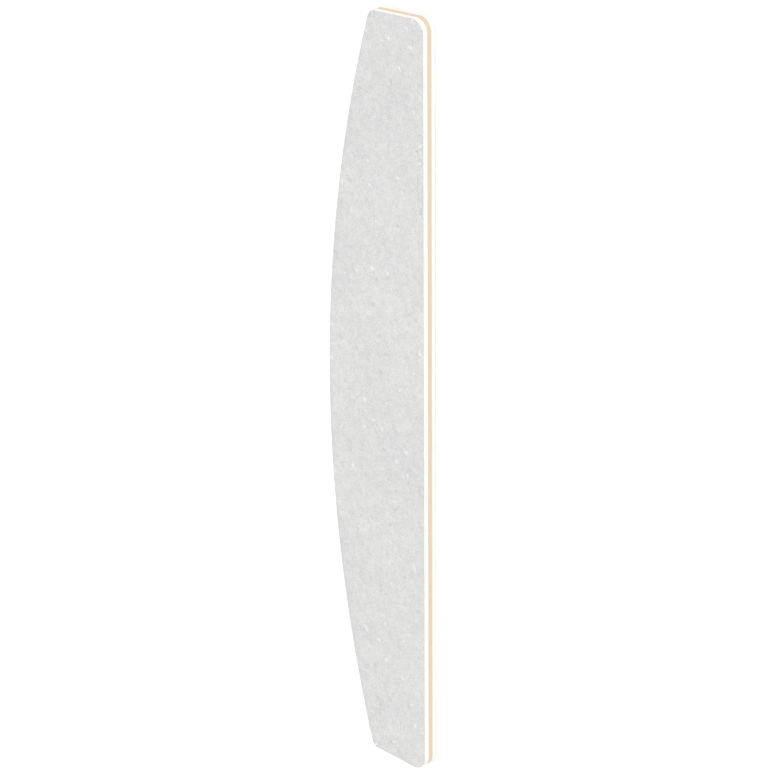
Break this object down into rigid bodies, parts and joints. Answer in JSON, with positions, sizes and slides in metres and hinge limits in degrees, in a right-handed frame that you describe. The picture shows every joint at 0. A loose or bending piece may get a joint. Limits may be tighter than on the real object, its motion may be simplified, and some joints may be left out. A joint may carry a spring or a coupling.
{
  "type": "half-moon nail file",
  "caption": "Flat cushioned nail file with one straight and one arched edge, a stiff core board, foam pads and abrasive sheets on both sides.",
  "frame": {"origin": "middle of the rear face's bounding box: halfway along the file and halfway between the straight edge and the top of the arch, on the surface it lies on", "axes": "+X along the file; the straight edge faces -Y and the arched edge +Y; +Z out of the front abrasive face, which is the coarser one"},
  "size_m": [0.178, 0.028, 0.004],
  "materials": {
    "core_plastic": "satin",
    "adhesive_film": "satin",
    "white_foam": "matte",
    "backing_paper": "matte",
    "coarse_grit": "matte",
    "fine_grit": "matte"
  },
  "bodies": {
    "root": {"core_board": "core_plastic", "front_core_adhesive": "adhesive_film", "front_foam_pad": "white_foam", "front_paper_adhesive": "adhesive_film", "front_backing_paper": "backing_paper", "front_grit_coat": "coarse_grit", "rear_core_adhesive": "adhesive_film", "rear_foam_pad": "white_foam", "rear_paper_adhesive": "adhesive_film", "rear_backing_paper": "backing_paper", "rear_grit_coat": "fine_grit"}
  },
  "joints": []
}
